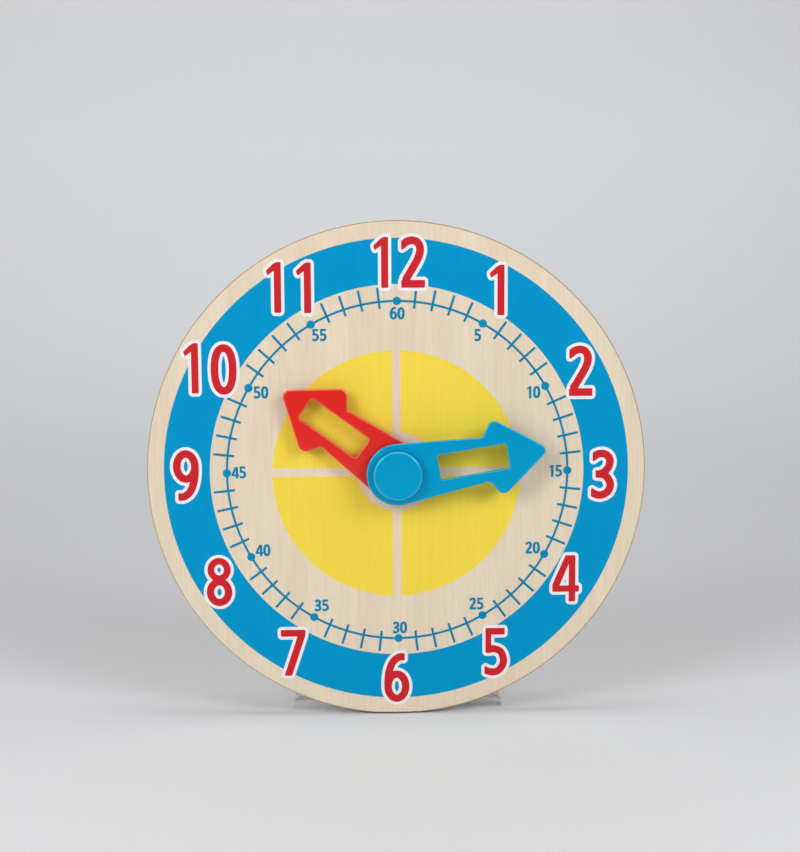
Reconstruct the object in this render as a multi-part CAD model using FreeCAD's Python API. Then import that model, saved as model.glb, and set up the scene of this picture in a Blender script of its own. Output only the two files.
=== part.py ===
import FreeCAD, Part
import math
import os

# A geared teaching clock: a round plywood dial on a bent clear stand, with two plastic hands
# and a gear train behind the dial, so that the hour hand follows the minute hand at 1:12.
#
# Row frame: +X right, +Z up, the dial faces -Y, origin on the floor under the clock's middle.
# Dial frame: x right, y up, z out of the dial's face, origin at the dial's centre on its face.
# Every piece but the stand is modelled in the dial frame and placed at the end.

# Dial board
dial_diameter = 300.0
board_thickness = 9.0
rim_round = 1.2

# Clearances
running_clearance = 0.05        # radial, a turning shaft in its bore
end_float = 0.3                 # along the axis, between parts that turn at different speeds
seat_clearance = 0.05           # radial, between pieces that are pressed or screwed together
board_hole_clearance = 0.2      # radial, round the bush in the board and the base plate

# Hands
hand_thickness = 3.6
hand_edge_round = 0.8
hand_spacing = 2.1              # free space between the two hands
minute_hub_radius = 18.4
minute_neck_half = 13.3
minute_tip_reach = 91.6         # where the two front edges would meet
minute_barb_sweep = 6.9         # from the neck out to the barbs
minute_window_start = 25.0
minute_window_end = 66.5
minute_window_half = 7.5
hour_hub_radius = 18.0
hour_neck_half = 13.3
hour_tip_reach = 85.4
hour_barb_sweep = 7.6
hour_window_start = 25.5
hour_window_end = 67.5
hour_window_half = 7.2
head_half_width = 23.7          # of the arrow head, before its corners are rounded
head_length = 31.5              # from the widest place to the sharp tip
barb_round = 4.5
tip_round = 4.0
neck_round = 2.0
window_corner_round = 1.6
minute_hand_angle = 80.6        # clockwise from twelve, at rest
hour_hand_angle = 306.0

# Knob cap on the minute hand
knob_radius = 14.6
knob_height = 4.9
knob_edge_round = 1.8
knob_top_wall = 2.0
knob_boss_radius = 12.6
knob_boss_height = 0.7

# Centre bush, its nut and washer
bush_radius = 8.0
bush_flange_radius = 11.0
bush_flange_thickness = 1.2
bush_proud = 0.3                # how far the bush stands out of its nut
nut_across_flats = 24.0
nut_thickness = 3.0
nut_washer_radius = 14.0
nut_washer_thickness = 0.8

# Arbor and hour pipe
arbor_radius = 3.0
arbor_flat_half = 2.2           # half the width across the two flats that key the hand
pivot_radius = 2.4
clip_groove_radius = 1.9
clip_radius = 4.4
clip_thickness = 0.8
clip_mouth_half = 1.5
arbor_tail = 0.8                # arbor left behind the clip
pipe_radius = 5.5
pipe_spigot_radius = 5.0

# Gear train
gear_module = 1.0
pressure_angle = 20.0
tooth_thinning = 0.08           # taken off each tooth at the pitch circle, for backlash
dedendum = 1.25                 # in modules
cannon_teeth = 15
minute_wheel_teeth = 45
idler_pinion_teeth = 12
hour_wheel_teeth = 48
cannon_shift = 0.15             # profile shift, in modules; its wheel has the opposite
idler_pinion_shift = 0.30
flank_points = 4
wheel_width = 4.0
wheel_level_gap = 1.0           # between the hour wheel's and the minute wheel's planes
cannon_extra = 0.5              # how far the cannon pinion passes its wheel
wheel_rim = 3.0                 # solid ring under the teeth
web_thickness = 2.0
web_hole_count = 5
web_land = 1.6                  # left between a web hole and the hub or rim
hour_wheel_hub_radius = 9.0
minute_wheel_hub_radius = 7.8

# Idler post and washers
post_radius = 2.0
post_foot_radius = 2.5
idler_washer_radius = 4.0
idler_washer_thickness = 0.5
friction_washer_radius = 6.0
friction_washer_thickness = 0.5

# Gear case
base_thickness = 2.5
gear_room = 1.8                 # from the hour wheel's tips to the case's wall
cover_wall = 2.0
cover_thickness = 2.0
cover_flange_thickness = 2.5
flange_width = 8.0
cover_edge_round = 1.6
locating_rim_height = 1.2
locating_rim_width = 0.8
pivot_boss_radius = 5.0
pivot_boss_height = 0.8

# Wood screws
screw_radius = 1.5
screw_head_radius = 2.9
screw_head_height = 1.9
screw_bite = 6.0
screw_point = 2.0

# Clear stand
stand_width = 130.0
stand_sheet = 3.0
stand_bend_radius = 4.6         # outside of the bend
stand_height = 62.0
stand_foot_depth = 78.0         # from the dial's back to the foot's rear edge
stand_corner_round = 6.0
stand_edge_round = 0.4
stand_washer_radius = 4.5
stand_washer_thickness = 0.8
stand_screw_half_span = 45.0
stand_screw_heights = (28.0, 49.0)

# Levels along the dial's axis, from the face forwards
dial_radius = dial_diameter / 2
nut_back = nut_washer_thickness
nut_front = nut_back + nut_thickness
bush_front = nut_front + bush_proud
hour_hand_back = bush_front + end_float
hour_hand_front = hour_hand_back + hand_thickness
pipe_front = hour_hand_front + hand_spacing
minute_hand_back = pipe_front + end_float
minute_hand_front = minute_hand_back + hand_thickness
knob_back = minute_hand_front + knob_boss_height
knob_front = knob_back + knob_height
arbor_front = knob_front - knob_top_wall - end_float

# Levels from the board backwards
board_back = -board_thickness
base_back = board_back - base_thickness
hour_wheel_front = base_back - end_float
hour_wheel_back = hour_wheel_front - wheel_width
cannon_front = hour_wheel_back - end_float
minute_wheel_front = hour_wheel_back - wheel_level_gap
minute_wheel_back = minute_wheel_front - wheel_width
cannon_back = minute_wheel_back - cannon_extra
friction_washer_front = cannon_back - end_float
cover_inside = friction_washer_front - friction_washer_thickness
cover_back = cover_inside - cover_thickness
pivot_boss_back = cover_back - pivot_boss_height
clip_front = pivot_boss_back - end_float
clip_back = clip_front - clip_thickness
arbor_back = clip_back - arbor_tail
idler_front = base_back - idler_washer_thickness - end_float
idler_back = cover_inside + end_float
flange_back = base_back - cover_flange_thickness

# Gear case outline: a slot shape round both gear axes
centre_distance = gear_module * (hour_wheel_teeth + idler_pinion_teeth) / 2
hour_wheel_tip_radius = gear_module * (hour_wheel_teeth / 2 + 1 - idler_pinion_shift)
cavity_radius = hour_wheel_tip_radius + gear_room
cover_radius = cavity_radius + cover_wall
flange_radius = cover_radius + flange_width
case_screw_radius = cover_radius + flange_width / 2

# Place of the dial in the row frame
dial_height = dial_radius
face_y = (knob_front - board_thickness - stand_foot_depth) / 2
stand_front_y = face_y + board_thickness
stand_rear_y = stand_front_y + stand_foot_depth

axis_z = FreeCAD.Vector(0, 0, 1)
origin = FreeCAD.Vector(0, 0, 0)
tiny = 0.001


def point(x, y, z=0.0):
    return FreeCAD.Vector(x, y, z)


def polar(radius, angle):
    return point(radius * math.cos(angle), radius * math.sin(angle))


def rod(radius, low, high, x=0.0, y=0.0):
    return Part.makeCylinder(radius, high - low, point(x, y, low))


def ring(outer_radius, inner_radius, low, high):
    return rod(outer_radius, low, high).cut(rod(inner_radius, low, high))


def raised(face, low, high):
    """A flat face in the dial's plane, made into a plate between two levels."""
    plate = face.extrude(point(0, 0, high - low))
    plate.translate(point(0, 0, low))
    return plate


def turned(shape, degrees):
    return shape.rotated(origin, axis_z, degrees)


def at_idler(shape):
    return shape.translated(point(0, centre_distance))


def rounded_polygon(corners):
    """A face from (x, y, radius) corners in order round it, each rounded by its radius."""
    edges = []
    ends = []
    count = len(corners)
    for index in range(count):
        before = point(*corners[index - 1][:2])
        here = point(*corners[index][:2])
        after = point(*corners[(index + 1) % count][:2])
        radius = corners[index][2]
        arrive = (before - here).normalize()
        leave = (after - here).normalize()
        half = arrive.getAngle(leave) / 2
        back_off = radius / math.tan(half)
        bisector = (arrive + leave).normalize()
        middle = here + bisector * (radius / math.sin(half) - radius)
        ends.append((here + arrive * back_off, middle, here + leave * back_off, radius))
    for index in range(count):
        start, middle, end, radius = ends[index]
        if radius > 0:
            edges.append(Part.Arc(start, middle, end).toShape())
        edges.append(Part.LineSegment(end, ends[(index + 1) % count][0]).toShape())
    return Part.Face(Part.Wire(edges))


def arrow_outline(hub_radius, neck_half, tip_reach, barb_sweep):
    """A hand's outline: round hub, sides tangent to it, and a barbed arrow head."""
    barb_reach = tip_reach - head_length
    neck_reach = barb_reach - barb_sweep
    neck_angle = math.atan2(neck_half, neck_reach)
    neck_distance = math.hypot(neck_reach, neck_half)
    touch_angle = neck_angle + math.acos(hub_radius / neck_distance)
    touch = polar(hub_radius, touch_angle)
    side_x = touch.x
    side_y = touch.y
    head = rounded_polygon([
        (side_x, -side_y, 0),
        (neck_reach, -neck_half, neck_round),
        (barb_reach, -head_half_width, barb_round),
        (tip_reach, 0, tip_round),
        (barb_reach, head_half_width, barb_round),
        (neck_reach, neck_half, neck_round),
        (side_x, side_y, 0),
    ])
    hub = Part.Face(Part.Wire(Part.makeCircle(hub_radius)))
    return head.fuse(hub).removeSplitter().Faces[0]


def window_outline(start, end, half):
    corner = window_corner_round
    return rounded_polygon([
        (start, -half, corner),
        (end, -half, corner),
        (end, half, corner),
        (start, half, corner),
    ])


def round_edges_at(shape, level, radius):
    """Rounds every edge that lies whole in the plane at this level."""
    edges = [
        edge for edge in shape.Edges
        if abs(edge.BoundBox.ZMin - level) < tiny and abs(edge.BoundBox.ZMax - level) < tiny
    ]
    return shape.makeFillet(radius, edges)


def hand_blank(outline, window, back):
    """A hand's plate with its window, its front edges softened all round."""
    plate = raised(outline.cut(window), back, back + hand_thickness)
    return round_edges_at(plate, back + hand_thickness, hand_edge_round)


def keyed_rod(radius, flat_half, low, high):
    """A rod with two flats, as the arbor's end and the holes that it drives."""
    span = 2 * radius
    flats = Part.makeBox(span, 2 * flat_half, high - low, point(-radius, -flat_half, low))
    return rod(radius, low, high).common(flats)


def involute(angle):
    return math.tan(angle) - angle


def gear_face(teeth, shift):
    """An involute gear's outline with a tooth centred on +x, and the radius of its tips."""
    slope = math.radians(pressure_angle)
    pitch_radius = gear_module * teeth / 2
    base_radius = pitch_radius * math.cos(slope)
    tip_radius = pitch_radius + gear_module * (1 + shift)
    root_radius = pitch_radius - gear_module * (dedendum - shift)
    thickness = gear_module * (math.pi / 2 + 2 * shift * math.tan(slope)) - tooth_thinning
    pitch_half = thickness / (2 * pitch_radius)
    start_radius = max(base_radius, root_radius)

    def half_angle(radius):
        flank_slope = math.acos(min(1.0, base_radius / radius))
        return pitch_half + involute(slope) - involute(flank_slope)

    step = 2 * math.pi / teeth
    edges = []
    for tooth in range(teeth):
        middle = tooth * step
        radii = [
            start_radius + (tip_radius - start_radius) * index / (flank_points - 1)
            for index in range(flank_points)
        ]
        rising = [polar(radius, middle - half_angle(radius)) for radius in radii]
        falling = [polar(radius, middle + half_angle(radius)) for radius in reversed(radii)]
        root_half = half_angle(start_radius)
        if root_radius < start_radius:
            root_in = polar(root_radius, middle - root_half)
            edges.append(Part.LineSegment(root_in, rising[0]).toShape())
        edges.append(flank_edge(rising))
        edges.append(Part.Arc(rising[-1], polar(tip_radius, middle), falling[0]).toShape())
        edges.append(flank_edge(falling))
        leave = polar(root_radius, middle + root_half)
        if root_radius < start_radius:
            edges.append(Part.LineSegment(falling[-1], leave).toShape())
        reach = polar(root_radius, middle + step - root_half)
        edges.append(Part.Arc(leave, polar(root_radius, middle + step / 2), reach).toShape())
    return Part.Face(Part.Wire(edges)), root_radius


def flank_edge(points):
    curve = Part.BSplineCurve()
    curve.interpolate(points)
    return curve.toShape()


def wheel(teeth, shift, front, back, hub_radius):
    """A moulded wheel: toothed rim, thin web with round holes, and a hub as wide as the rim."""
    face, root_radius = gear_face(teeth, shift)
    blank = raised(face, back, front)
    rim_inside = root_radius - wheel_rim
    recess = (front - back - web_thickness) / 2
    channel_front = ring(rim_inside, hub_radius, front - recess, front)
    channel_back = ring(rim_inside, hub_radius, back, back + recess)
    blank = blank.cut(channel_front).cut(channel_back)
    hole_circle = (rim_inside + hub_radius) / 2
    hole_radius = (rim_inside - hub_radius) / 2 - web_land
    for index in range(web_hole_count):
        spot = polar(hole_circle, 2 * math.pi * index / web_hole_count)
        blank = blank.cut(rod(hole_radius, back, front, spot.x, spot.y))
    return blank


def slot_plate(radius, low, high):
    """A plate round both gear axes, with round ends of this radius."""
    straight = Part.makeBox(2 * radius, centre_distance, high - low, point(-radius, 0, low))
    upper = rod(radius, low, high, 0, centre_distance)
    return rod(radius, low, high).fuse([straight, upper]).removeSplitter()


def wood_screw(x, y, seat, length):
    """A pan-head screw with its head behind the seat level and its point ahead of it."""
    crown = seat - screw_head_height
    rim = seat - screw_head_height / 2
    crown_arc = Part.Arc(
        point(0, 0, crown),
        point(screw_head_radius * 0.72, 0, crown + screw_head_height * 0.18),
        point(screw_head_radius, 0, rim),
    )
    outline = [
        point(screw_head_radius, 0, rim),
        point(screw_head_radius, 0, seat),
        point(screw_radius, 0, seat),
        point(screw_radius, 0, seat + length - screw_point),
        point(0, 0, seat + length),
        point(0, 0, crown),
    ]
    wire = Part.Wire([crown_arc.toShape()] + Part.makePolygon(outline).Edges)
    return Part.Face(wire).revolve(origin, axis_z, 360).translated(point(x, y))


def pilot_hole(x, y, seat, length):
    """The hole that a wood screw fills, with a cone at its end, as the screw's point."""
    radius = screw_radius + seat_clearance
    straight = length - screw_point
    hole = rod(radius, seat, seat + straight, x, y)
    cone = Part.makeCone(radius, 0, screw_point + seat_clearance, point(x, y, seat + straight))
    return hole.fuse(cone)


def case_screw_spots():
    """Six places in the case's flange: two on each round end and one on each side."""
    spots = []
    for middle_y, angles in ((0, (225, 315)), (centre_distance, (45, 135))):
        for angle in angles:
            spot = polar(case_screw_radius, math.radians(angle))
            spots.append((spot.x, spot.y + middle_y))
    for side in (-1, 1):
        spots.append((side * case_screw_radius, centre_distance / 2))
    return spots


def stand_screw_spots():
    spots = []
    for height in stand_screw_heights:
        for side in (-1, 1):
            spots.append((side * stand_screw_half_span, height - dial_height))
    return spots


case_screw_length = cover_flange_thickness + base_thickness + screw_bite
stand_screw_seat = board_back - stand_sheet - stand_washer_thickness
stand_screw_length = stand_washer_thickness + stand_sheet + screw_bite


def make_dial_board():
    board = rod(dial_radius, board_back, 0)
    rim_edges = [edge for edge in board.Edges if isinstance(edge.Curve, Part.Circle)]
    board = board.makeFillet(rim_round, rim_edges)
    board = board.cut(rod(bush_radius + board_hole_clearance, board_back, 0))
    for x, y in case_screw_spots():
        board = board.cut(pilot_hole(x, y, flange_back, case_screw_length))
    for x, y in stand_screw_spots():
        board = board.cut(pilot_hole(x, y, stand_screw_seat, stand_screw_length))
    return board


def make_centre_bush():
    bush = rod(bush_radius, base_back, bush_front)
    flange = rod(bush_flange_radius, base_back, base_back + bush_flange_thickness)
    return bush.fuse(flange).cut(rod(pipe_radius + running_clearance, base_back, bush_front))


def make_nut_washer():
    return ring(nut_washer_radius, bush_radius + board_hole_clearance, 0, nut_back)


def make_dial_nut():
    corner_radius = nut_across_flats / 2 / math.cos(math.pi / 6)
    corners = [polar(corner_radius, math.pi * index / 3) for index in range(6)]
    hexagon = Part.Face(Part.makePolygon(corners + corners[:1]))
    nut = raised(hexagon, nut_back, nut_front)
    return nut.cut(rod(bush_radius + seat_clearance, nut_back, nut_front))


def make_hour_pipe():
    pipe = rod(pipe_radius, hour_wheel_back, hour_hand_back)
    spigot = rod(pipe_spigot_radius, hour_hand_back, pipe_front)
    bore = rod(arbor_radius + running_clearance, hour_wheel_back, pipe_front)
    return pipe.fuse(spigot).cut(bore)


def make_hour_hand():
    outline = arrow_outline(hour_hub_radius, hour_neck_half, hour_tip_reach, hour_barb_sweep)
    window = window_outline(hour_window_start, hour_window_end, hour_window_half)
    hand = hand_blank(outline, window, hour_hand_back)
    hand = hand.cut(rod(pipe_spigot_radius + seat_clearance, hour_hand_back, hour_hand_front))
    return turned(hand, 90 - hour_hand_angle)


def make_hour_wheel():
    gear = wheel(hour_wheel_teeth, -idler_pinion_shift, hour_wheel_front, hour_wheel_back,
                 hour_wheel_hub_radius)
    bore = rod(pipe_radius + seat_clearance, hour_wheel_back, hour_wheel_front)
    gap_towards_idler = 90 + 180 / hour_wheel_teeth
    return turned(gear.cut(bore), gap_towards_idler)


def make_minute_arbor():
    shaft = rod(arbor_radius, cannon_back, minute_hand_back)
    key = keyed_rod(arbor_radius, arbor_flat_half, minute_hand_back, arbor_front)
    pivot = rod(pivot_radius, arbor_back, cannon_back)
    groove = ring(pivot_radius, clip_groove_radius, clip_back, clip_front)
    arbor = shaft.fuse([key, pivot]).cut(groove)
    return turned(arbor, 90 - minute_hand_angle)


def make_cannon_pinion():
    face = gear_face(cannon_teeth, cannon_shift)[0]
    pinion = raised(face, cannon_back, cannon_front)
    pinion = pinion.cut(rod(arbor_radius + seat_clearance, cannon_back, cannon_front))
    return turned(pinion, 90)


def make_minute_hand():
    outline = arrow_outline(minute_hub_radius, minute_neck_half, minute_tip_reach,
                            minute_barb_sweep)
    window = window_outline(minute_window_start, minute_window_end, minute_window_half)
    hand = hand_blank(outline, window, minute_hand_back)
    hand = hand.fuse(rod(knob_boss_radius, minute_hand_front, knob_back))
    hole = keyed_rod(arbor_radius + seat_clearance, arbor_flat_half + seat_clearance,
                     minute_hand_back, knob_back)
    return turned(hand.cut(hole), 90 - minute_hand_angle)


def make_knob_cap():
    cap = rod(knob_radius, knob_back, knob_front)
    cap = round_edges_at(cap, knob_front, knob_edge_round)
    socket = keyed_rod(arbor_radius + seat_clearance, arbor_flat_half + seat_clearance,
                       knob_back, arbor_front + end_float)
    return turned(cap.cut(socket), 90 - minute_hand_angle)


def make_arbor_clip():
    clip = ring(clip_radius, clip_groove_radius, clip_back, clip_front)
    mouth = Part.makeBox(clip_radius, 2 * clip_mouth_half, clip_thickness,
                         point(0, -clip_mouth_half, clip_back))
    return clip.cut(mouth)


def make_idler_post():
    foot = rod(post_foot_radius, board_back - base_thickness, board_back)
    post = rod(post_radius, cover_back, base_back)
    return at_idler(foot.fuse(post))


def make_idler_washer():
    inner = post_radius + running_clearance
    washer = ring(idler_washer_radius, inner, base_back - idler_washer_thickness, base_back)
    return at_idler(washer)


def make_idler_pinion():
    face = gear_face(idler_pinion_teeth, idler_pinion_shift)[0]
    pinion = raised(face, minute_wheel_front, idler_front)
    bore = rod(post_radius + running_clearance, minute_wheel_front, idler_front)
    return at_idler(turned(pinion.cut(bore), -90))


def make_idler_wheel():
    gear = wheel(minute_wheel_teeth, -cannon_shift, minute_wheel_front, minute_wheel_back,
                 minute_wheel_hub_radius)
    gear = gear.fuse(rod(idler_washer_radius, idler_back, minute_wheel_back))
    gear = gear.cut(rod(post_radius + running_clearance, idler_back, minute_wheel_front))
    gap_towards_centre = -90 + 180 / minute_wheel_teeth
    return at_idler(turned(gear, gap_towards_centre))


def make_friction_washer():
    inner = pivot_radius + running_clearance
    return ring(friction_washer_radius, inner, cover_inside, friction_washer_front)


def make_case_base():
    plate = slot_plate(flange_radius, base_back, board_back)
    rim_back = base_back - locating_rim_height
    rim_outer = cavity_radius - seat_clearance
    rim = slot_plate(rim_outer, rim_back, base_back)
    rim = rim.cut(slot_plate(rim_outer - locating_rim_width, rim_back, base_back))
    recess_radius = bush_flange_radius + seat_clearance
    base = plate.fuse(rim)
    base = base.cut(rod(bush_radius + board_hole_clearance, base_back, board_back))
    base = base.cut(rod(recess_radius, base_back, base_back + bush_flange_thickness))
    base = base.cut(at_idler(rod(post_foot_radius + seat_clearance, base_back, board_back)))
    for x, y in case_screw_spots():
        base = base.cut(pilot_hole(x, y, flange_back, case_screw_length))
    return base


def make_case_cover():
    shell = slot_plate(cover_radius, cover_back, base_back)
    shell = round_edges_at(shell, cover_back, cover_edge_round)
    flange = slot_plate(flange_radius, flange_back, base_back)
    boss = rod(pivot_boss_radius, pivot_boss_back, cover_back)
    cover = shell.fuse([flange, boss]).cut(slot_plate(cavity_radius, cover_inside, base_back))
    cover = cover.cut(rod(pivot_radius + running_clearance, pivot_boss_back, cover_inside))
    cover = cover.cut(at_idler(rod(post_radius + seat_clearance, cover_back, cover_inside)))
    for x, y in case_screw_spots():
        cover = cover.cut(pilot_hole(x, y, flange_back, case_screw_length))
    return cover


def make_case_screws():
    screws = [wood_screw(x, y, flange_back, case_screw_length) for x, y in case_screw_spots()]
    return Part.makeCompound(screws)


def make_stand_screws():
    screws = [
        wood_screw(x, y, stand_screw_seat, stand_screw_length) for x, y in stand_screw_spots()
    ]
    return Part.makeCompound(screws)


def make_stand_washers():
    inner = screw_radius + seat_clearance
    low = stand_screw_seat
    washer = ring(stand_washer_radius, inner, low, low + stand_washer_thickness)
    return Part.makeCompound([washer.translated(point(x, y)) for x, y in stand_screw_spots()])


def make_stand_bracket():
    """The clear stand in the row frame: one sheet bent from the dial's back into a foot."""
    front = stand_front_y
    sheet = stand_sheet
    bend = stand_bend_radius
    inner = bend - sheet
    middle_y = front + bend
    left = -stand_width / 2

    def spot(y, z):
        return FreeCAD.Vector(left, y, z)

    def bend_arc(radius, start, end):
        reach = radius * math.sqrt(0.5)
        return Part.Arc(start, spot(middle_y - reach, bend - reach), end).toShape()

    corners = [
        spot(middle_y, 0),
        spot(stand_rear_y, 0),
        spot(stand_rear_y, sheet),
        spot(middle_y, sheet),
        spot(front + sheet, bend),
        spot(front + sheet, stand_height),
        spot(front, stand_height),
        spot(front, bend),
    ]
    edges = []
    for index, start in enumerate(corners):
        end = corners[(index + 1) % len(corners)]
        if index == 3:
            edges.append(bend_arc(inner, start, end))
        elif index == 7:
            edges.append(bend_arc(bend, start, end))
        else:
            edges.append(Part.LineSegment(start, end).toShape())
    stand = Part.Face(Part.Wire(edges)).extrude(FreeCAD.Vector(stand_width, 0, 0))
    across_sheet = [edge for edge in stand.Edges if abs(edge.Length - sheet) < tiny]
    stand = stand.makeFillet(stand_corner_round, across_sheet)
    outline_edges = []
    for edge in stand.Edges:
        box = edge.BoundBox
        across = box.XLength < tiny and abs(edge.Length - sheet) < tiny
        along_bend = box.XLength > tiny and box.YLength < tiny and box.ZLength < tiny
        on_end = box.ZMin > stand_height - tiny or box.YMin > stand_rear_y - tiny
        if not across and (on_end or not along_bend):
            outline_edges.append(edge)
    stand = stand.makeFillet(stand_edge_round, outline_edges)
    for x, y in stand_screw_spots():
        hole = rod(screw_radius + seat_clearance, board_back - sheet, board_back, x, y)
        stand = stand.cut(in_row_frame(hole))
    return stand


def in_row_frame(shape):
    """Moves a shape from the dial frame to the row frame."""
    placed = shape.rotated(origin, FreeCAD.Vector(1, 0, 0), 90)
    return placed.translated(FreeCAD.Vector(0, face_y, dial_height))


dial_pieces = {
    "dial_board": make_dial_board,
    "centre_bush": make_centre_bush,
    "nut_washer": make_nut_washer,
    "dial_nut": make_dial_nut,
    "hour_pipe": make_hour_pipe,
    "hour_wheel": make_hour_wheel,
    "hour_hand": make_hour_hand,
    "minute_arbor": make_minute_arbor,
    "cannon_pinion": make_cannon_pinion,
    "minute_hand": make_minute_hand,
    "knob_cap": make_knob_cap,
    "arbor_clip": make_arbor_clip,
    "idler_post": make_idler_post,
    "idler_washer": make_idler_washer,
    "idler_pinion": make_idler_pinion,
    "idler_wheel": make_idler_wheel,
    "friction_washer": make_friction_washer,
    "case_base": make_case_base,
    "case_cover": make_case_cover,
    "case_screws": make_case_screws,
    "stand_screws": make_stand_screws,
    "stand_washers": make_stand_washers,
}

os.makedirs("parts", exist_ok=True)
for name, make in dial_pieces.items():
    in_row_frame(make()).exportStep("parts/" + name + ".step")
make_stand_bracket().exportStep("parts/stand_bracket.step")
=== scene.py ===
import math

import bpy
import numpy as np
from mathutils import Matrix, Vector


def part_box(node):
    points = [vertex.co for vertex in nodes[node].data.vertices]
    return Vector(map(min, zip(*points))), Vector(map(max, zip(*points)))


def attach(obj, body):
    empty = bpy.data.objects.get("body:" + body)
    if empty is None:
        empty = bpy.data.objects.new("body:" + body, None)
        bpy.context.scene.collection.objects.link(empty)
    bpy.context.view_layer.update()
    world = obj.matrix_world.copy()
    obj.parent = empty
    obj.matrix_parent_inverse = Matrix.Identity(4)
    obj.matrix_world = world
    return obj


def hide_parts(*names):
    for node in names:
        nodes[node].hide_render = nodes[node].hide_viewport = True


# A geared teaching clock: printed plywood dial, two moulded hands, a gear case and a clear stand.
# What is drawn on the dial is given in millimetres in the dial frame: x right, y up, origin at the
# centre of the dial. Pieces and materials are in metres in the row frame.

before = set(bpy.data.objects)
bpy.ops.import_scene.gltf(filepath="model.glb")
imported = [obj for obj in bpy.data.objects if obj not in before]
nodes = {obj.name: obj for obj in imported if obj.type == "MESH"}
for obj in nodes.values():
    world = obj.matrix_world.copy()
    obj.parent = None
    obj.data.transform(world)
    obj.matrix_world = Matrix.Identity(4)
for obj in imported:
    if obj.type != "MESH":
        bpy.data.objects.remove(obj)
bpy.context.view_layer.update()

board_low, board_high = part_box("dial_board")
face_y = board_low.y
dial_centre = Vector((0.0, face_y, (board_low.z + board_high.z) / 2))
dial_radius = (board_high.x - board_low.x) / 2
board_thickness = board_high.y - board_low.y
stand_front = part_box("stand_bracket")[0].y
stand_bend_radius = 0.0046


# Materials

def linear(red, green, blue):
    """A colour given as it looks on screen, 0 to 255, for a shader's colour socket."""
    channels = []
    for value in (red, green, blue):
        share = value / 255
        channels.append(share / 12.92 if share <= 0.04045 else ((share + 0.055) / 1.055) ** 2.4)
    return (*channels, 1.0)


def grey(value):
    return (value, value, value, 1.0)


class Graph:
    """A node material being built round its Principled shader."""

    def __init__(self, name, **settings):
        self.material = bpy.data.materials.new(name)
        self.material.use_nodes = True
        self.tree = self.material.node_tree
        self.shader = self.tree.nodes["Principled BSDF"]
        for socket, value in settings.items():
            self.shader.inputs[socket.replace("_", " ")].default_value = value

    def add(self, kind, values=None, **attributes):
        node = self.tree.nodes.new("ShaderNode" + kind)
        for name, value in attributes.items():
            setattr(node, name, value)
        for key, value in (values or {}).items():
            self.feed(node.inputs[key], value)
        return node

    def feed(self, socket, value):
        if isinstance(value, bpy.types.NodeSocket):
            self.tree.links.new(value, socket)
        else:
            socket.default_value = value

    def set(self, socket, value):
        self.feed(self.shader.inputs[socket], value)

    def place(self, scale=(1, 1, 1), location=(0, 0, 0)):
        """The row frame's coordinates in metres, scaled and moved."""
        coordinates = self.add("TexCoord").outputs["Object"]
        mapping = self.add("Mapping", {"Vector": coordinates, "Scale": scale, "Location": location})
        return mapping.outputs["Vector"]

    def axes(self, vector):
        return self.add("SeparateXYZ", {0: vector}).outputs

    def noise(self, place, scale, detail=3.0, roughness=0.5, distortion=0.0):
        node = self.add("TexNoise", {"Vector": place, "Scale": scale, "Detail": detail,
                                     "Roughness": roughness, "Distortion": distortion})
        return node.outputs["Fac"]

    def math(self, operation, first, second=0.0, clamp=False):
        node = self.add("Math", {0: first, 1: second}, operation=operation, use_clamp=clamp)
        return node.outputs[0]

    def spread(self, value, source, target, kind="LINEAR"):
        """A value brought from one span to another, and held at its ends."""
        node = self.add("MapRange", {"Value": value, "From Min": source[0], "From Max": source[1],
                                     "To Min": target[0], "To Max": target[1]},
                        interpolation_type=kind)
        return node.outputs["Result"]

    def even(self, noise, low, high):
        """The middle part of a noise brought between two values."""
        return self.spread(noise, (0.3, 0.7), (low, high))

    def soften(self, noise, low, high):
        """A noise brought between two values with no crease at either end."""
        return self.spread(noise, (0.25, 0.75), (low, high), "SMOOTHSTEP")

    def mix(self, share, first, second, blend_type="MIX"):
        node = self.add("Mix", data_type="RGBA", blend_type=blend_type)
        self.feed(node.inputs[0], share)
        self.feed(node.inputs[6], first)
        self.feed(node.inputs[7], second)
        return node.outputs[2]

    def shade(self, colour, value):
        """A colour made lighter or darker by a value round 1."""
        return self.mix(1.0, colour, value, "MULTIPLY")

    def ramp(self, value, stops, interpolation="LINEAR"):
        node = self.add("ValToRGB", {"Fac": value})
        node.color_ramp.interpolation = interpolation
        elements = node.color_ramp.elements
        while len(elements) < len(stops):
            elements.new(0.5)
        for element, (position, colour) in zip(elements, stops):
            element.position = position
            element.color = colour
        return node.outputs["Color"]

    def rounded_normal(self, radius):
        """Normals that turn softly over edges."""
        return self.add("Bevel", {"Radius": radius}, samples=6).outputs["Normal"]

    def on_rounding(self, radius):
        """Where a face that looks along Y turns over an edge, 0 on flats and sides and 1 between."""
        along = self.math("ABSOLUTE", self.axes(self.rounded_normal(radius))["Y"])
        off_face = self.spread(along, (0.97, 0.85), (0, 1))
        return self.math("MULTIPLY", off_face, self.spread(along, (0.25, 0.5), (0, 1)))

    def bump(self, height, strength, distance, edge_radius=0.0):
        """Fine relief, over softened edges where a radius is given."""
        node = self.add("Bump", {"Height": height, "Strength": strength, "Distance": distance})
        if edge_radius:
            self.feed(node.inputs["Normal"], self.rounded_normal(edge_radius))
        self.set("Normal", node.outputs["Normal"])


def wood_fibre(graph):
    """Fine upright fibres of the face veneer, as a value round 0.5."""
    coarse = graph.noise(graph.place((1, 1, 0.05)), scale=420, detail=5, roughness=0.62)
    fine = graph.noise(graph.place((1, 1, 0.035)), scale=1500, roughness=0.6)
    return graph.math("ADD", graph.math("MULTIPLY", coarse, 0.55), graph.math("MULTIPLY", fine, 0.45))


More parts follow.
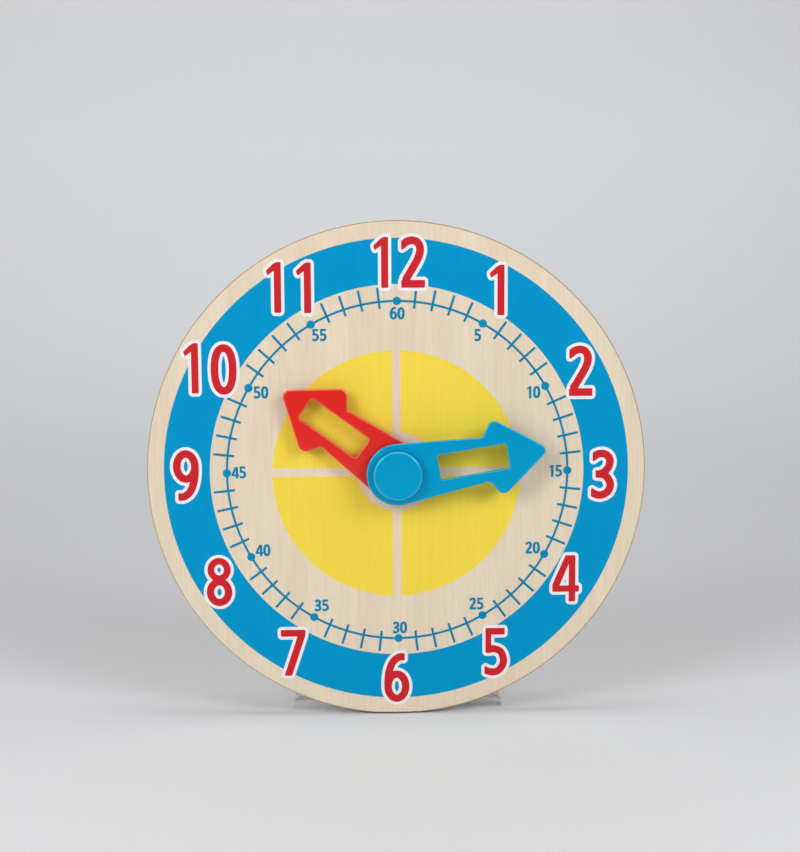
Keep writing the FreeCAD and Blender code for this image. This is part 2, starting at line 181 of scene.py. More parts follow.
def plywood():
    """Birch veneer on the faces, plies round the rim, and painted contact shadow, dark brown, along the
    bottom of the board where it stands.
    """
    graph = Graph("plywood_birch", Specular_IOR_Level=0.15)
    fibre = wood_fibre(graph)
    figure = graph.noise(graph.place((1, 1, 0.08), (0.31, 0.12, 0.07)), scale=38, distortion=1.2)
    flecks = graph.noise(graph.place((1, 1, 0.06), (0.7, 0.3, 0.2)), scale=900, detail=2, roughness=0.7)
    veneer = graph.ramp(figure, [
        (0.25, linear(216, 199, 174)),
        (0.5, linear(221, 205, 181)),
        (0.75, linear(224, 209, 186)),
    ])
    veneer = graph.shade(veneer, graph.soften(fibre, 0.93, 1.06))
    veneer = graph.shade(veneer, graph.spread(flecks, (0.62, 0.78), (1.0, 0.9)))

    place = graph.axes(graph.place(location=-dial_centre))
    squares = [graph.math("MULTIPLY", place[axis], place[axis]) for axis in ("X", "Z")]
    reach = graph.math("SQRT", graph.math("ADD", *squares))
    wobble = graph.noise(graph.place(location=(0.9, 0.4, 0.6)), scale=160, detail=2)
    depth = graph.math("ADD", graph.spread(place["Y"], (0, board_thickness), (0, 1)),
                       graph.even(wobble, -0.012, 0.012))
    plies = graph.ramp(depth, [
        (0.0, linear(176, 147, 112)),
        (0.13, linear(120, 85, 57)),
        (0.30, linear(160, 126, 90)),
        (0.47, linear(114, 80, 53)),
        (0.64, linear(158, 124, 88)),
        (0.80, linear(118, 84, 56)),
        (0.92, linear(168, 138, 104)),
    ], "CONSTANT")
    end_grain = graph.noise(graph.place(), scale=1400, roughness=0.7)
    plies = graph.shade(plies, graph.even(end_grain, 0.8, 1.12))

    on_rim = graph.spread(reach, (dial_radius - 0.0009, dial_radius - 0.0004), (0, 1))
    # Painted contact shadow: the lowest 1.5 mm of the board, faces and rim alike, darkens to dark brown
    # where it meets the floor.
    painted_contact_shadow = graph.spread(place["Z"], (0.0015 - dial_radius, 0.0008 - dial_radius), (0, 0.9))
    body = graph.mix(on_rim, veneer, plies)
    graph.set("Base Color", graph.mix(painted_contact_shadow, body, linear(74, 50, 36)))
    graph.set("Roughness", graph.even(fibre, 0.5, 0.62))
    graph.bump(fibre, strength=0.22, distance=0.00012)
    return graph.material


def ink(name, colour):
    """Screen-printed colour that lets the veneer's fibres show a little."""
    graph = Graph(name, Specular_IOR_Level=0.05)
    fibre = wood_fibre(graph)
    cloud = graph.noise(graph.place(location=(0.2, 0.5, 0.8)), scale=24)
    tone = graph.shade(linear(*colour), graph.even(fibre, 0.955, 1.035))
    graph.set("Base Color", graph.shade(tone, graph.even(cloud, 0.985, 1.015)))
    graph.set("Roughness", graph.even(fibre, 0.45, 0.56))
    graph.bump(fibre, strength=0.14, distance=0.0001)
    return graph.material


def moulded(name, colour, roughness, edge_highlight_colour=None, **settings):
    """Moulded plastic, slightly uneven, with softened edges, and a painted highlight in a lighter colour
    along them where a highlight colour is given.
    """
    graph = Graph(name, **settings)
    edge_radius = 0.0012 if edge_highlight_colour else 0.0
    flow = graph.noise(graph.place(), scale=45, detail=2, distortion=0.6)
    skin = graph.noise(graph.place(location=(0.4, 0.1, 0.9)), scale=2600, detail=2)
    tone = graph.shade(linear(*colour), graph.soften(flow, 0.985, 1.012))
    if edge_highlight_colour:
        # Painted highlight: a lighter colour mixed into the base colour where the softened edges turn
        # over.
        highlight_share = graph.math("MULTIPLY", graph.on_rounding(edge_radius), 0.5)
        tone = graph.mix(highlight_share, tone, linear(*edge_highlight_colour))
    graph.set("Base Color", tone)
    graph.set("Roughness", graph.soften(flow, roughness - 0.03, roughness + 0.04))
    graph.bump(skin, strength=0.05, distance=0.00003, edge_radius=edge_radius)
    return graph.material


def clear_sheet():
    """Clear acrylic: faces that hardly show, and cut edges and a bend that gather light."""
    graph = Graph("clear_acrylic", Specular_IOR_Level=0.5, IOR=1.49)
    haze = graph.noise(graph.place(), scale=70)
    place = graph.axes(graph.place())
    in_bend = graph.ramp(graph.spread(place["Z"], (0, 2 * stand_bend_radius), (0, 1)), [
        (0.0, grey(0.3)),
        (0.05, grey(0.14)),
        (0.44, grey(0.14)),
        (0.48, grey(0.3)),
        (0.53, grey(0.0)),
    ])
    normal = graph.axes(graph.add("NewGeometry").outputs["Normal"])
    on_cut_edge = graph.spread(graph.math("ABSOLUTE", normal["X"]), (0.15, 0.6), (0, 0.35))
    facing = graph.add("LayerWeight", {"Blend": 0.3}).outputs["Facing"]
    sheen = graph.spread(facing, (0.55, 1.0), (0.03, 0.35))
    shown = graph.math("ADD", sheen, graph.math("MAXIMUM", in_bend, on_cut_edge), clamp=True)

    # The upright's front face is left out, but for its lowest part, so that the sheet shows once
    off_front = graph.math("GREATER_THAN", place["Y"], stand_front + 0.0001)
    low_down = graph.math("LESS_THAN", place["Z"], 0.0055)
    graph.set("Alpha", graph.math("MULTIPLY", shown, graph.math("MAXIMUM", off_front, low_down)))
    graph.set("Base Color", graph.ramp(haze, [
        (0.3, linear(236, 231, 231)),
        (0.7, linear(243, 240, 240)),
    ]))
    graph.set("Roughness", graph.soften(haze, 0.03, 0.07))
    return graph.material


def metal(name, colour, roughness):
    """Turned or plated metal with fine tool marks and slightly uneven tarnish."""
    graph = Graph(name, Metallic=1.0)
    marks = graph.noise(graph.place(), scale=3200, roughness=0.6)
    tarnish = graph.noise(graph.place(location=(0.3, 0.2, 0.5)), scale=160, detail=4, roughness=0.6)
    graph.set("Base Color", graph.shade(linear(*colour), graph.even(tarnish, 0.86, 1.04)))
    graph.set("Roughness", graph.even(tarnish, roughness - 0.06, roughness + 0.08))
    graph.bump(marks, strength=0.12, distance=0.00003)
    return graph.material


def fibre_board():
    """Vulcanised fibre, matt and thready, as washers are cut from."""
    graph = Graph("vulcanised_fibre", Specular_IOR_Level=0.3)
    threads = graph.noise(graph.place(), scale=1800, detail=4, roughness=0.7)
    graph.set("Base Color", graph.ramp(threads, [
        (0.3, linear(104, 46, 34)),
        (0.7, linear(138, 66, 48)),
    ]))
    graph.set("Roughness", graph.even(threads, 0.6, 0.75))
    graph.bump(threads, strength=0.3, distance=0.00006)
    return graph.material


def studio_paper():
    """Pale seamless paper, a little darker high on the wall."""
    graph = Graph("studio_paper", Specular_IOR_Level=0.1)
    height = graph.axes(graph.place())["Z"]
    grain = graph.noise(graph.place(), scale=300)
    tone = graph.ramp(graph.spread(height, (0.55, 0.9), (0, 1)), [
        (0.0, (0.757, 0.763, 0.776, 1.0)),
        (1.0, (0.688, 0.692, 0.699, 1.0)),
    ])
    graph.set("Base Color", graph.shade(tone, graph.soften(grain, 0.995, 1.005)))
    graph.set("Roughness", graph.soften(grain, 0.8, 0.9))
    return graph.material


# Outlines in the dial frame

def circle(radius, centre=(0.0, 0.0), steps=240):
    return [
        (centre[0] + radius * math.cos(2 * math.pi * index / steps),
         centre[1] + radius * math.sin(2 * math.pi * index / steps))
        for index in range(steps)
    ]


def arc(centre, radius, start, end, steps=60):
    """Points on a circle from one point's direction to another's, the short way round."""
    first = math.atan2(start[1] - centre[1], start[0] - centre[0])
    last = math.atan2(end[1] - centre[1], end[0] - centre[0])
    sweep = (last - first + math.pi) % (2 * math.pi) - math.pi
    return [
        (centre[0] + radius * math.cos(first + sweep * index / steps),
         centre[1] + radius * math.sin(first + sweep * index / steps))
        for index in range(steps + 1)
    ]


def crossing(centre, radius, x=None, y=None, side=1):
    """Where a circle crosses the upright line at x, or the level line at y."""
    if x is not None:
        return (x, centre[1] + side * math.sqrt(radius ** 2 - (x - centre[0]) ** 2))
    return (centre[0] + side * math.sqrt(radius ** 2 - (y - centre[1]) ** 2), y)


def quarter(sector_centre, sector_radius, bare_radius, x, y, side_x, side_y):
    """One yellow quarter: between two gap lines, outside the bare circle round the hub."""
    outer_x = crossing(sector_centre, sector_radius, x=x, side=side_y)
    outer_y = crossing(sector_centre, sector_radius, y=y, side=side_x)
    inner_x = crossing((0, 0), bare_radius, x=x, side=side_y)
    inner_y = crossing((0, 0), bare_radius, y=y, side=side_x)
    outside = arc(sector_centre, sector_radius, outer_y, outer_x)
    return outside + arc((0, 0), bare_radius, inner_x, inner_y, 30)


def radial_bar(angle, inner, outer, width, centre):
    along = (math.sin(angle), math.cos(angle))
    across = (along[1] * width / 2, -along[0] * width / 2)
    corners = []
    for reach, side in ((inner, -1), (outer, -1), (outer, 1), (inner, 1)):
        corners.append((centre[0] + along[0] * reach + across[0] * side,
                        centre[1] + along[1] * reach + across[1] * side))
    return corners


# Digits, drawn as pen strokes and plain outlines from their lower left corner, 30 mm high

everywhere = (-99.0, 99.0)
far_away = 1e9


def stroke(pen, *points, within=everywhere):
    """A pen stroke, pen wide to each side, cut off upright at the ends of a span of x."""
    return ("stroke", pen, points, within)


def loop(pen, centre, reach_x, reach_y, power=2.0):
    """A closed pen stroke round an ellipse, squarer than one where power is above 2."""
    points = []
    for index in range(72):
        angle = 2 * math.pi * index / 72
        cosine = math.cos(angle)
        sine = math.sin(angle)
        points.append((
            centre[0] + reach_x * math.copysign(abs(cosine) ** (2 / power), cosine),
            centre[1] + reach_y * math.copysign(abs(sine) ** (2 / power), sine),
        ))
    return ("loop", pen, points, everywhere)


def outline(*points):
    return ("outline", 0.0, points, everywhere)


def bar(left, bottom, right, top):
    return outline((left, bottom), (right, bottom), (right, top), (left, top))


digits = {
    "0": [loop(2.3, (7.6, 15.0), 5.4, 12.75, 2.3)],
    "1": [outline((0.1, 25.0), (4.4, 29.0), (6.2, 30.0), (8.9, 30.0), (8.9, 0.0), (4.7, 0.0),
                  (4.7, 24.8), (0.8, 22.0))],
    "2": [stroke(2.35, (-1.6, 23.7), (0.8, 25.1), (3.6, 27.2), (6.9, 27.9), (9.9, 26.7),
                 (11.4, 23.6), (11.1, 20.0), (9.5, 16.0), (6.2, 10.3), (2.55, 4.3),
                 within=(0.2, 99.0)),
          bar(0.2, 0.0, 14.3, 4.6)],
    "3": [stroke(2.35, (-1.4, 23.3), (0.9, 24.9), (4.0, 27.0), (7.3, 27.5), (10.4, 26.0),
                 (11.7, 22.6), (10.6, 18.8), (8.0, 16.1), (6.0, 15.2), within=(1.2, 99.0)),
          stroke(2.35, (6.0, 14.9), (7.6, 14.7), (10.0, 13.0), (12.0, 9.0), (10.8, 4.6),
                 (7.0, 2.3), (3.6, 2.5), (0.3, 4.2), (-1.9, 5.6), within=(0.3, 99.0)),
          bar(3.0, 12.7, 6.0, 17.3)],
    "4": [bar(10.1, 0.0, 14.1, 28.7),
          bar(0.1, 6.1, 16.4, 10.0),
          outline((8.0, 28.7), (12.2, 28.7), (4.1, 9.0), (0.1, 9.0), (0.1, 10.6))],
    "5": [bar(1.1, 25.6, 12.9, 29.8),
          bar(1.1, 14.2, 4.7, 29.8),
          stroke(2.25, (2.9, 16.6), (6.6, 16.7), (10.3, 15.0), (12.1, 10.6), (11.6, 6.5),
                 (9.0, 3.2), (5.7, 2.2), (2.5, 2.8), (0.3, 4.0), (-1.9, 5.4),
                 within=(0.5, 99.0))],
    "6": [loop(2.3, (7.6, 10.0), 5.4, 7.6),
          stroke(2.3, (2.2, 10.0), (2.25, 14.0), (2.95, 19.5), (5.0, 24.8), (8.2, 27.9),
                 (11.0, 28.5), (14.2, 27.8), within=(-99.0, 12.5))],
    "7": [outline((0.1, 28.9), (15.1, 28.9), (15.1, 25.5), (6.6, 0.2), (2.0, 0.2),
                  (10.2, 24.7), (0.1, 24.7))],
    "8": [loop(2.05, (7.75, 22.3), 4.95, 5.35),
          loop(2.25, (7.75, 8.6), 5.45, 6.35)],
}
digits["9"] = [
    (kind, pen, [(15.2 - x, 30.4 - y) for x, y in points], (15.2 - within[1], 15.2 - within[0]))
    for kind, pen, points, within in digits["6"]
]


def smooth_path(points, steps=6):
    """A Catmull-Rom curve through the points of a stroke."""
    spots = [2 * np.array(points[0]) - np.array(points[1])]
    spots += [np.array(spot) for spot in points]
    spots.append(2 * spots[-1] - spots[-2])
    path = []
    for index in range(1, len(spots) - 2):
        before, here, there, after = spots[index - 1:index + 3]
        for step in range(steps):
            t = step / steps
            path.append(0.5 * (2 * here + (there - before) * t
                               + (2 * before - 5 * here + 4 * there - after) * t ** 2
                               + (3 * here - before - 3 * there + after) * t ** 3))
    path.append(spots[-2])
    return path


def from_segment(grid, start, end):
    """Distance of every grid point from the segment between two points."""
    start = np.array(start)
    span = np.array(end) - start
    share = np.clip(((grid - start) @ span) / (span @ span), 0, 1)
    return np.linalg.norm(grid - start - share[..., None] * span, axis=-1)


def from_butt(grid, start, end, pen):
    """Signed distance from a box round the segment, pen wide to each side."""
    start = np.array(start)
    span = np.array(end) - start
    length = np.linalg.norm(span)
    along = span / length
    local = grid - start - span / 2
    over = np.abs(local @ along) - length / 2
    beside = np.abs(local @ np.array((-along[1], along[0]))) - pen
    outside = np.hypot(np.maximum(over, 0), np.maximum(beside, 0))
    return outside + np.minimum(np.maximum(over, beside), 0)


def from_outline(grid, points):
    """Signed distance from a closed outline, negative inside it."""
    nearest = np.full(grid.shape[:-1], far_away)
    inside = np.zeros(grid.shape[:-1], bool)
    for index, end in enumerate(points):
        start = points[index - 1]
        nearest = np.minimum(nearest, from_segment(grid, start, end))
        if start[1] != end[1]:
            between = (grid[..., 1] < start[1]) != (grid[..., 1] < end[1])
            slope = (end[0] - start[0]) / (end[1] - start[1])
            beyond = grid[..., 0] < start[0] + (grid[..., 1] - start[1]) * slope
            inside ^= between & beyond
    return np.where(inside, -nearest, nearest)


def from_digit(grid, parts):
    """Distance from a whole digit, negative inside it, as the least of its parts'."""
    whole = []
    for kind, pen, points, within in parts:
        if kind == "outline":
            whole.append(from_outline(grid, points))
            continue
        if kind == "loop":
            path = [*points, points[0]]
            nearest = [from_segment(grid, start, end) - pen for start, end in zip(path, path[1:])]
        else:
            path = smooth_path(points)
            nearest = [from_butt(grid, start, end, pen) for start, end in zip(path, path[1:])]
            nearest += [np.linalg.norm(grid - joint, axis=-1) - pen for joint in path[1:-1]]
        beyond = np.maximum(within[0] - grid[..., 0], grid[..., 0] - within[1])
        whole.append(np.maximum(np.min(nearest, axis=0), beyond))
    return np.min(whole, axis=0)


def contours(field, level, low, pitch):
    """Closed outlines round the places where the field is below the level."""
    value = field - level
    value[np.abs(value) < 1e-6] = 1e-6
    inside = value < 0
    links = {}

    def on_edge(first, second):
        share = value[first] / (value[first] - value[second])
        return (low[0] + pitch * (first[0] + share * (second[0] - first[0])),
                low[1] + pitch * (first[1] + share * (second[1] - first[1])))

    mixed = inside[:-1, :-1].astype(int) + inside[1:, :-1] + inside[:-1, 1:] + inside[1:, 1:]
    for i, j in np.argwhere((mixed > 0) & (mixed < 4)):
        ring = [(i, j), (i + 1, j), (i + 1, j + 1), (i, j + 1)]
        leaving = []
        entering = []
        for corner in range(4):
            here = ring[corner]
            there = ring[(corner + 1) % 4]
            if inside[here] and not inside[there]:
                leaving.append((corner, here, there))
            if inside[there] and not inside[here]:
                entering.append((corner, there, here))
        for corner, here, there in leaving:
            match = min(entering, key=lambda entry: (entry[0] - corner) % 4)
            links[(here, there)] = (match[1], match[2])
    outlines = []
    while links:
        first = next(iter(links))
        key = first
        outline_points = []
        while key in links:
            outline_points.append(on_edge(*key))
            key = links.pop(key)
        outlines.append(outline_points)
    return outlines


def straightened(run, tolerance):
    """The points of an open run that are needed to stay within the tolerance, last one left out."""
    span = run[-1] - run[0]
    offsets = np.abs(span[0] * (run[:, 1] - run[0, 1]) - span[1] * (run[:, 0] - run[0, 0]))
    offsets /= max(np.linalg.norm(span), 1e-9)
    worst = int(np.argmax(offsets))
    if len(run) < 3 or offsets[worst] < tolerance:
        return [tuple(run[0])]
    return straightened(run[:worst + 1], tolerance) + straightened(run[worst:], tolerance)


def thinned(points, tolerance=0.008):
    """A closed outline without the points that lie on its straight runs."""
    spots = np.array([*points, points[0]])
    far = int(np.argmax(np.linalg.norm(spots - spots[0], axis=1)))
    return straightened(spots[:far + 1], tolerance) + straightened(spots[far:], tolerance)


digit_pitch = 0.25
digit_margin = 5.0
digit_span = (27.0, 41.0)
corner_round = 0.5
white_edge = 1.85
minute_digit_swell = 0.7


def digit_shapes():
    """Each digit's outlines as an hour digit, as its white edge and as a minute digit."""
    low = (-digit_margin, -digit_margin)
    axis_x, axis_y = [
        start + digit_pitch * np.arange(int(span / digit_pitch))
        for start, span in zip(low, digit_span)
    ]
    grid = np.stack(np.meshgrid(axis_x, axis_y, indexing="ij"), axis=-1)
    shapes = {}
    for digit, parts in digits.items():
        field = from_digit(grid, parts)
        nearest = np.full(grid.shape[:-1], far_away)
        for points in contours(field, -corner_round, low, digit_pitch):
            core = thinned(points)
            for start, end in zip(core, core[1:] + core[:1]):
                nearest = np.minimum(nearest, from_segment(grid, start, end))
        nearest = np.where(field < -corner_round, -nearest, nearest)
        shapes[digit] = [
            [thinned(points) for points in contours(nearest, corner_round + grown, low, digit_pitch)]
            for grown in (0.0, white_edge, minute_digit_swell)
        ]
    return shapes


def moved(outlines, x, y, scale_x=1.0, scale_y=1.0):
    return [[(x + px * scale_x, y + py * scale_y) for px, py in points] for points in outlines]


# Thin layers on the dial

def layered(name, outlines, thickness, material, back=0.0):
    """A closed layer filled between its outlines, its back so far behind the dial's face."""
    curve = bpy.data.curves.new(name, "CURVE")
    curve.dimensions = "2D"
    curve.fill_mode = "BOTH"
    curve.extrude = thickness / 2
    for points in outlines:
        spline = curve.splines.new("POLY")
        spline.points.add(len(points) - 1)
        flat = []
        for x, y in points:
            flat.extend((x, y, 0.0, 1.0))
        spline.points.foreach_set("co", flat)
        spline.use_cyclic_u = True
    holder = bpy.data.objects.new(name + "_curve", curve)
    bpy.context.scene.collection.objects.link(holder)
    graph = bpy.context.evaluated_depsgraph_get()
    mesh = bpy.data.meshes.new_from_object(holder.evaluated_get(graph))
    bpy.data.objects.remove(holder)
    mesh.name = name
    turn = Matrix(((1, 0, 0, 0), (0, 0, -1, back - thickness / 2), (0, 1, 0, 0), (0, 0, 0, 1)))
    mesh.transform(Matrix.Translation(dial_centre) @ Matrix.Scale(0.001, 4) @ turn)
    mesh.materials.clear()
    mesh.materials.append(material)
    piece = bpy.data.objects.new(name, mesh)
    bpy.context.scene.collection.objects.link(piece)
    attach(piece, "dial")


def printed(name, outlines, thickness, colour_material):
    layered(name, outlines, thickness, colour_material)


# Inks

band_ink = ink("band_ink", (0, 143, 194))
line_ink = ink("line_ink", (6, 126, 166))
dot_ink = ink("dot_ink", (4, 134, 179))
yellow_ink = ink("yellow_ink", (235, 209, 72))
white_ink = ink("white_ink", (230, 229, 231))
red_ink = ink("red_ink", (197, 38, 46))

# How thick each ink lies, thicker where it crosses another, so that it is the one that shows

area_ink_height = 0.04
line_ink_height = 0.05
tick_ink_height = 0.052
dot_ink_height = 0.054
digit_edge_height = 0.07
digit_ink_height = 0.1

# The ring and the yellow quarters, each printed a little off the dial's centre

band = [circle(139.7, (-0.15, 0), 360), circle(112.5, (0.05, 0), 360)]
printed("hour_band", band, area_ink_height, band_ink)

sector_centre = (-0.5, -1.4)
sector_radius = 74.55
bare_radius = 24.0
quarters = []
for side_x, gap_x in ((1, 2.3), (-1, -2.8)):
    for side_y, gap_y in ((1, 2.6), (-1, -2.6)):
        quarters.append(quarter(sector_centre, sector_radius, bare_radius,
                                gap_x, gap_y, side_x, side_y))
printed("yellow_quarters", quarters, area_ink_height, yellow_ink)

# The minute circle

track_centre = (0.3, -0.05)
track_line = [circle(103.15, track_centre, 300), circle(101.8, track_centre, 300)]
printed("minute_line", track_line, line_ink_height, line_ink)

tick_inner = 98.4
tick_outer = 111.0
tick_width = 1.45
ticks = [
    radial_bar(math.radians(6 * minute), tick_inner, tick_outer, tick_width, track_centre)
    for minute in range(60) if minute % 5
]
printed("minute_ticks", ticks, tick_ink_height, line_ink)

dot_reach = 102.5
dot_radius = 2.5
dots = []
for step in range(12):
    angle = math.radians(30 * step)
    spot = (track_centre[0] + dot_reach * math.sin(angle),
            track_centre[1] + dot_reach * math.cos(angle))
    dots.append(circle(dot_radius, spot, 36))
printed("minute_dots", dots, dot_ink_height, dot_ink)

# The lower left corner of each hour digit

hour_places = [
    ("1", -13.6, 110.2), ("2", 2.8, 110.2),
    ("1", 55.5, 93.6),
    ("2", 103.2, 45.0),
    ("3", 116.9, -17.5),
    ("4", 94.1, -80.9),
    ("5", 52.3, -126.7),
    ("6", -8.5, -142.7),
    ("7", -71.5, -125.5),
    ("8", -115.8, -81.3),
    ("9", -134.3, -16.1),
    ("1", -126.9, 48.2), ("0", -110.6, 47.4),
    ("1", -77.1, 95.8), ("1", -59.4, 95.5),
]
shapes = digit_shapes()
white_shapes = []
red_shapes = []
for digit, left, bottom in hour_places:
    red_shapes += moved(shapes[digit][0], left, bottom)
    white_shapes += moved(shapes[digit][1], left, bottom)
printed("hour_digit_edges", white_shapes, digit_edge_height, white_ink)
printed("hour_digits", red_shapes, digit_ink_height, red_ink)

# The middle of each minute number, and how its digits are drawn smaller and set apart

minute_places = {
    "60": (0.5, 95.1), "5": (48.5, 81.9), "10": (81.7, 47.5), "15": (95.3, -0.3),
    "20": (82.0, -47.3), "25": (47.9, -81.6), "30": (1.1, -95.9), "35": (-46.3, -81.6),
    "40": (-81.3, -47.2), "45": (-95.0, 0.4), "50": (-81.1, 48.5), "55": (-45.9, 82.5),
}
minute_scale_x = 0.264
minute_scale_y = 0.236
minute_advance = 4.5
digit_height = 30
digit_widths = {"0": 15.2, "1": 9.0, "2": 14.3, "3": 14.4, "4": 16.4, "5": 14.4, "6": 15.2,
                "7": 15.1, "8": 15.5, "9": 15.2}
small_shapes = []
for text, (x, y) in minute_places.items():
    start = x - minute_advance * len(text) / 2
    for index, digit in enumerate(text):
        width = digit_widths[digit] * minute_scale_x
        left = start + minute_advance * (index + 0.5) - width / 2
        bottom = y - digit_height * minute_scale_y / 2
        small_shapes += moved(shapes[digit][2], left, bottom, minute_scale_x, minute_scale_y)
printed("minute_digits", small_shapes, line_ink_height, line_ink)


# Materials of the CAD nodes

birch = plywood()
grey_moulding = moulded("grey_moulding", (120, 124, 128), 0.42)
steel = metal("plated_steel", (188, 190, 194), 0.3)
finishes = {
    "plywood": birch,
    # The last colour given to each hand's moulding is the painted highlight along its edges.
    "blue_plastic": moulded("blue_moulding", (0, 143, 192), 0.12, (80, 190, 226),
                            Specular_IOR_Level=1.0, Specular_Tint=(0.06, 0.9, 1.0, 1.0)),
    "red_plastic": moulded("red_moulding", (221, 31, 26), 0.12, (245, 140, 122),
                           Specular_IOR_Level=1.0, Specular_Tint=(1.0, 0.4, 0.35, 1.0),
                           Subsurface_Weight=0.3, Subsurface_Scale=1.0,
                           Subsurface_Radius=(0.004, 0.0005, 0.0004)),
    "clear_plastic": clear_sheet(),
    "grey_plastic": grey_moulding,
    "white_acetal": moulded("white_acetal", (236, 233, 224), 0.38),
    "brass": metal("turned_brass", (214, 176, 98), 0.28),
    "steel": steel,
    "fibre": fibre_board(),
}
for node in nodes.values():
    for material_slot in node.material_slots:
        slot = material_slot.material.name.split(".")[0]
        material_slot.material = finishes[slot]


# Screws with a driver's cross and a thread, in millimetres, in place of the plain ones

head_height = 1.9
crown_bottom = 1.4
crown_step = 0.16
crown_radius = 2.09
crown_drop = 0.34
head_side = [(2.2, 1.50), (2.55, 1.28), (2.82, 1.02), (2.9, 0.75), (2.9, 0.3), (2.88, 0.02),
             (1.5, 0.02), (1.5, 0.0)]
cross_reach = 1.6
cross_half_width = 0.42
cross_bottom = 1.0
cross_wall = 0.2
shank_radius = 1.48
tip_length = 2.0
thread_pitch = 1.25
thread_height = 0.24
thread_step = 0.16


def cross_depth(x, y):
    """How deep the driver's cross goes at a place on a screw's head."""
    upright = max(abs(x) - cross_half_width, abs(y) - cross_reach)
    level = max(abs(y) - cross_half_width, abs(x) - cross_reach)
    return cross_bottom * min(1.0, max(0.0, 0.5 - min(upright, level) / cross_wall))


def screw_rings(length):
    """A pan-head wood screw as rings: radius, height over its seat and depth of thread."""
    rings = []
    for index in range(1, 13):
        reach = crown_step * index
        rings.append((reach, head_height - crown_drop * (reach / crown_radius) ** 2, 0.0))
    rings += [(radius, height, 0.0) for radius, height in head_side]
    steps = int(length / thread_step)
    for index in range(1, steps):
        depth = length * index / steps
        taper = min(1.0, (length - depth) / tip_length)
        rings.append((shank_radius * taper, -depth, thread_height * taper))
    return rings


def screws(name, spots, seat_y, length):
    """Screws along Y, their heads towards +Y, as one mesh that stands for a CAD node."""
    around = 36
    rings = screw_rings(length)
    vertices = []
    faces = []
    for x, z in spots:
        base = len(vertices)
        vertices.append((x, seat_y + head_height - cross_bottom, z))
        for radius, height, thread in rings:
            for index in range(around):
                angle = 2 * math.pi * index / around
                turn = (height / thread_pitch + index / around) % 1.0
                reach = radius - thread * (1 - abs(2 * turn - 1))
                side = reach * math.cos(angle)
                rise = reach * math.sin(angle)
                sink = cross_depth(side, rise) if height > crown_bottom else 0.0
                vertices.append((x + side, seat_y + height - sink, z + rise))
        vertices.append((x, seat_y - length, z))
        tip = len(vertices) - 1
        for index in range(around):
            there = (index + 1) % around
            faces.append((base, base + 1 + there, base + 1 + index))
            for level in range(len(rings) - 1):
                low = base + 1 + level * around
                faces.append((low + index, low + there, low + around + there, low + around + index))
            last = base + 1 + (len(rings) - 1) * around
            faces.append((last + index, last + there, tip))
    mesh = bpy.data.meshes.new(name)
    mesh.from_pydata([Vector(vertex) / 1000 for vertex in vertices], [], faces)
    mesh.shade_smooth()
    mesh.materials.append(steel)
    piece = bpy.data.objects.new(name, mesh)
    bpy.context.scene.collection.objects.link(piece)
    return piece


def place_screws(node, spots, length):
    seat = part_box(node)[1].y * 1000 - head_height
    piece = screws(node + "_threaded", spots, seat, length)
    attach(piece, "dial")
    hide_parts(node)


# Where the screws are, as x and height over the floor: three to each end of the case

case_screw_reach = 32.5
case_axes = (150.0, 180.0)
case_middle = 165.0
case_spots = [(-case_screw_reach, case_middle), (case_screw_reach, case_middle)]
for degrees, axis in ((45, case_axes[1]), (135, case_axes[1]), (225, case_axes[0]), (315, case_axes[0])):
    angle = math.radians(degrees)
    case_spots.append((case_screw_reach * math.cos(angle), axis + case_screw_reach * math.sin(angle)))
stand_spots = [(-45, 28), (45, 28), (-45, 49), (45, 49)]
place_screws("case_screws", case_spots, 11.0)
place_screws("stand_screws", stand_spots, 9.8)


# Skins where clear plastic lies flat on the board and on the case's base, because a ray that
# passes the plastic would miss the face that touches it

skin = 0.05
screw_opening = 1.8
centre_height = dial_centre.z * 1000
base_low, base_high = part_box("case_base")
base_radius = (base_high.x - base_low.x) / 2 * 1000
base_bottom = base_low.z * 1000 - centre_height + base_radius
base_top = base_high.z * 1000 - centre_height - base_radius


def slot_outline(radius, steps=48):
    """Two half circles joined by straight sides, round the centres of the case's two ends."""
    points = []
    for start, height in ((0.0, base_top), (math.pi, base_bottom)):
        for index in range(steps + 1):
            angle = start + math.pi * index / steps
            points.append((radius * math.cos(angle), height + radius * math.sin(angle)))
    return points


def screw_openings(spots):
    return [circle(screw_opening, (x, z - centre_height), 36) for x, z in spots]


rim_rounding = 1.3
case_overlap = 0.5
back_veneer = [circle(dial_radius * 1000 - rim_rounding, steps=300),
               slot_outline(base_radius - case_overlap)]
back_veneer += screw_openings(stand_spots)
layered("board_back_veneer", back_veneer, skin, birch, board_thickness * 1000 + skin)

edge_margin = 0.1
flange_width = 10.0
base_face = [slot_outline(base_radius - edge_margin), slot_outline(base_radius - flange_width)]
base_face += screw_openings(case_spots)
base_back = (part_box("case_cover")[0].y - face_y) * 1000
layered("case_base_face", base_face, skin, grey_moulding, base_back + skin)


# Stage

floor_radius = 1.6
wall_curve = 0.8


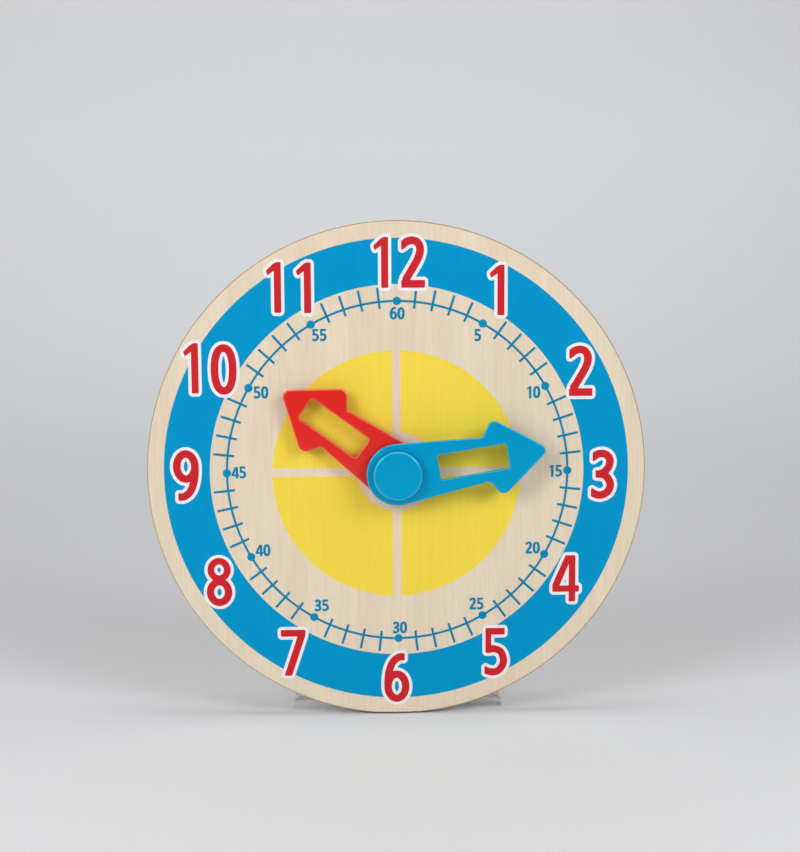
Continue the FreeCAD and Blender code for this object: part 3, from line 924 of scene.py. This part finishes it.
def bowl():
    """A round floor that curves up into a wall all round, as one sheet of paper."""
    profile = [(0.0, 0.0), (0.4, 0.0), (0.9, 0.0), (1.3, 0.0), (floor_radius, 0.0)]
    for index in range(1, 13):
        angle = math.pi / 2 * index / 12
        profile.append((floor_radius + wall_curve * math.sin(angle),
                        wall_curve - wall_curve * math.cos(angle)))
    profile += [(floor_radius + wall_curve, height) for height in (1.4, 2.2, 3.0)]
    steps = 96
    vertices = [(0.0, 0.0, 0.0)]
    faces = []
    for reach, height in profile[1:]:
        for index in range(steps):
            angle = 2 * math.pi * index / steps
            vertices.append((reach * math.cos(angle), reach * math.sin(angle), height))
    for index in range(steps):
        faces.append((0, 1 + index, 1 + (index + 1) % steps))
    for level in range(len(profile) - 2):
        base = 1 + level * steps
        for index in range(steps):
            there = (index + 1) % steps
            faces.append((base + index, base + steps + index, base + steps + there, base + there))
    mesh = bpy.data.meshes.new("studio_floor")
    mesh.from_pydata(vertices, [], faces)
    mesh.shade_smooth()
    mesh.materials.append(studio_paper())
    floor = bpy.data.objects.new("studio_floor", mesh)
    bpy.context.scene.collection.objects.link(floor)


def softbox(name, place, target, width, height, watts):
    data = bpy.data.lights.new(name, "AREA")
    data.shape = "RECTANGLE"
    data.size = width
    data.size_y = height
    data.energy = watts
    light = bpy.data.objects.new(name, data)
    light.location = place
    light.rotation_euler = (Vector(target) - Vector(place)).to_track_quat("-Z", "Y").to_euler()
    bpy.context.scene.collection.objects.link(light)


bowl()
face_target = (0, face_y, dial_centre.z)
softbox("right_box", (0.88, -0.93, 0.77), face_target, 0.6, 0.6, 8.8)
softbox("left_box", (-0.88, -0.93, 0.77), face_target, 0.6, 0.6, 7.9)
softbox("low_box", (-1.06, -0.93, 0.34), face_target, 0.45, 0.45, 2.4)
softbox("top_box", (0.0, -0.1, 1.9), (0, -0.1, 0), 1.6, 0.4, 8.4)
softbox("wall_box", (-0.06, 1.2, 2.1), (-0.06, 2.07, 1.6), 2.0, 0.6, 22.6)

scene = bpy.context.scene
world = bpy.data.worlds.new("studio")
world.use_nodes = True
world.node_tree.nodes["Background"].inputs["Color"].default_value = (1.0, 0.97, 0.93, 1.0)
world.node_tree.nodes["Background"].inputs["Strength"].default_value = 0.06
scene.world = world
scene.view_settings.view_transform = "Standard"
scene.view_settings.look = "None"


# Camera, placed so that the rim and the ring fall where the photograph has them

camera_place = (-0.0205, -0.8679, 0.2718)
forward = Vector((0.02659, 0.99335, -0.11206)).normalized()
right = forward.cross(Vector((0.00814, 0.11188, 0.99369))).normalized()
above = right.cross(forward)
camera_data = bpy.data.cameras.new("camera")
camera_data.lens = 59.15
camera_data.sensor_width = 36.0
camera = bpy.data.objects.new("camera", camera_data)
turn = Matrix((right, above, -forward)).transposed().to_4x4()
camera.matrix_world = Matrix.Translation(camera_place) @ turn
scene.collection.objects.link(camera)
scene.camera = camera
